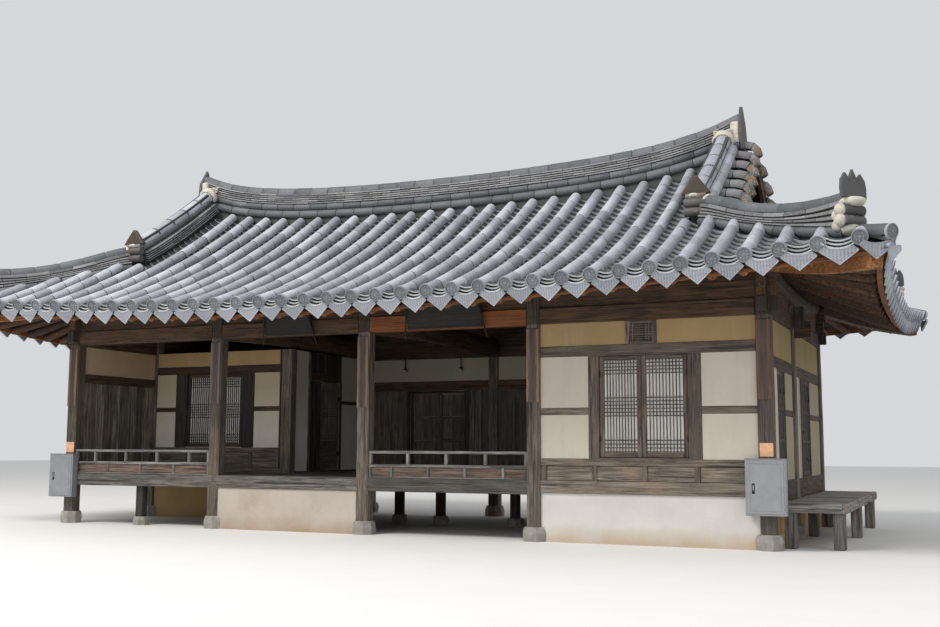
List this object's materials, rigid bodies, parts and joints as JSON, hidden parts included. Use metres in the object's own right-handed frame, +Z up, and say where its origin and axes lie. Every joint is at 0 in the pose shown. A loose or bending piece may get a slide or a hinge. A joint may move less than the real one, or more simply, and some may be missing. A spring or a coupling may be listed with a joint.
{
  "type": "hanok house",
  "caption": "Single-storey timber hanok house with a hip-and-gable tiled roof, open hall, railed veranda, plastered rooms, lattice windows and a side bench.",
  "frame": {"origin": "on the ground under the middle of the roof", "axes": "+Z up, -Y towards the front with the open hall, +X to the right seen from the front, along the ridge"},
  "size_m": [13.04, 7.404, 5.7325],
  "materials": {
    "tiles": "matte grey-blue clay tiles",
    "timber": "weathered grey-brown",
    "dark_timber": "dark weathered",
    "plaster": "matte lime plaster",
    "white_plaster": "matte lime plaster",
    "paper_lattice": "mulberry paper behind a wooden lattice",
    "grey_metal": "grey paint"
  },
  "bodies": {
    "house": {"cross_beam_1": "timber", "cross_beam_2": "timber", "cross_beam_3": "timber", "front_beam": "timber", "front_column_1": "timber", "front_column_2": "timber", "front_column_3": "timber", "front_column_4": "timber", "front_column_5": "timber", "gable_left": "dark_timber", "gable_right": "dark_timber", "hall_back_wall_left_frame": "dark_timber", "hall_back_wall_left_panel": "dark_timber", "hall_back_wall_right": "dark_timber", "hall_floor": "timber", "hall_foundation_wall": "white_plaster", "hall_middle_column": "timber", "hall_railing": "timber", "left_frame": "timber", "main_ridge": "tiles", "metal_box_left": "grey_metal", "metal_box_right": "grey_metal", "name_board_left": "dark_timber", "name_board_right": "dark_timber", "rear_frame": "timber", "ridge_purlin": "timber", "right_frame": "timber", "right_wall_front_frame": "plaster", "right_wall_front_panel": "plaster", "right_wall_rear_frame": "plaster", "right_wall_rear_panel": "plaster", "roof_front": "tiles", "roof_left": "tiles", "roof_rear": "tiles", "roof_ridge_front_left": "tiles", "roof_ridge_front_right": "tiles", "roof_ridge_rear_left": "tiles", "roof_ridge_rear_right": "tiles", "roof_right": "tiles", "room_1_back_wall": "plaster", "room_1_base": "white_plaster", "room_1_front_wall": "plaster", "room_1_hall_wall_frame": "plaster", "room_1_hall_wall_panel": "plaster", "room_1_side_wall": "plaster", "room_1_window": "paper_lattice", "room_2_back_wall": "plaster", "room_2_base": "white_plaster", "room_2_front_wall": "plaster", "room_2_hall_wall": "plaster", "room_2_window": "paper_lattice", "side_bench": "timber", "veranda_end_wall": "dark_timber", "veranda_floor": "timber", "veranda_railing": "timber"},
    "side_door_front_leaf": {"side_door_front": "dark_timber"},
    "side_door_rear_leaf": {"side_door_rear": "dark_timber"},
    "room_1_door_leaf": {"room_1_door": "dark_timber"},
    "back_door_left_leaf": {"back_door_left": "dark_timber"},
    "back_door_right_leaf": {"back_door_right": "dark_timber"}
  },
  "joints": [
    {"name": "side_door_front_hinge", "type": "hinge", "parent": "house", "child": "side_door_front_leaf", "pos_m": [5.0858, -1.211, 1.4], "axis": [0, 0, 1], "range_deg": [0, 105]},
    {"name": "side_door_rear_hinge", "type": "hinge", "parent": "house", "child": "side_door_rear_leaf", "pos_m": [5.0858, 0.957, 1.4], "axis": [0, 0, 1], "range_deg": [0, 105]},
    {"name": "room_1_door_hinge", "type": "hinge", "parent": "house", "child": "room_1_door_leaf", "pos_m": [-2.3842, 0.995, 1.4], "axis": [0, 0, 1], "range_deg": [0, 105]},
    {"name": "back_door_left_hinge", "type": "hinge", "parent": "house", "child": "back_door_left_leaf", "pos_m": [-1.633, 2.2133, 1.4], "axis": [0, 0, 1], "range_deg": [0, 105]},
    {"name": "back_door_right_hinge", "type": "hinge", "parent": "house", "child": "back_door_right_leaf", "pos_m": [-0.603, 2.2133, 1.4], "axis": [0, 0, -1], "range_deg": [0, 105]}
  ]
}
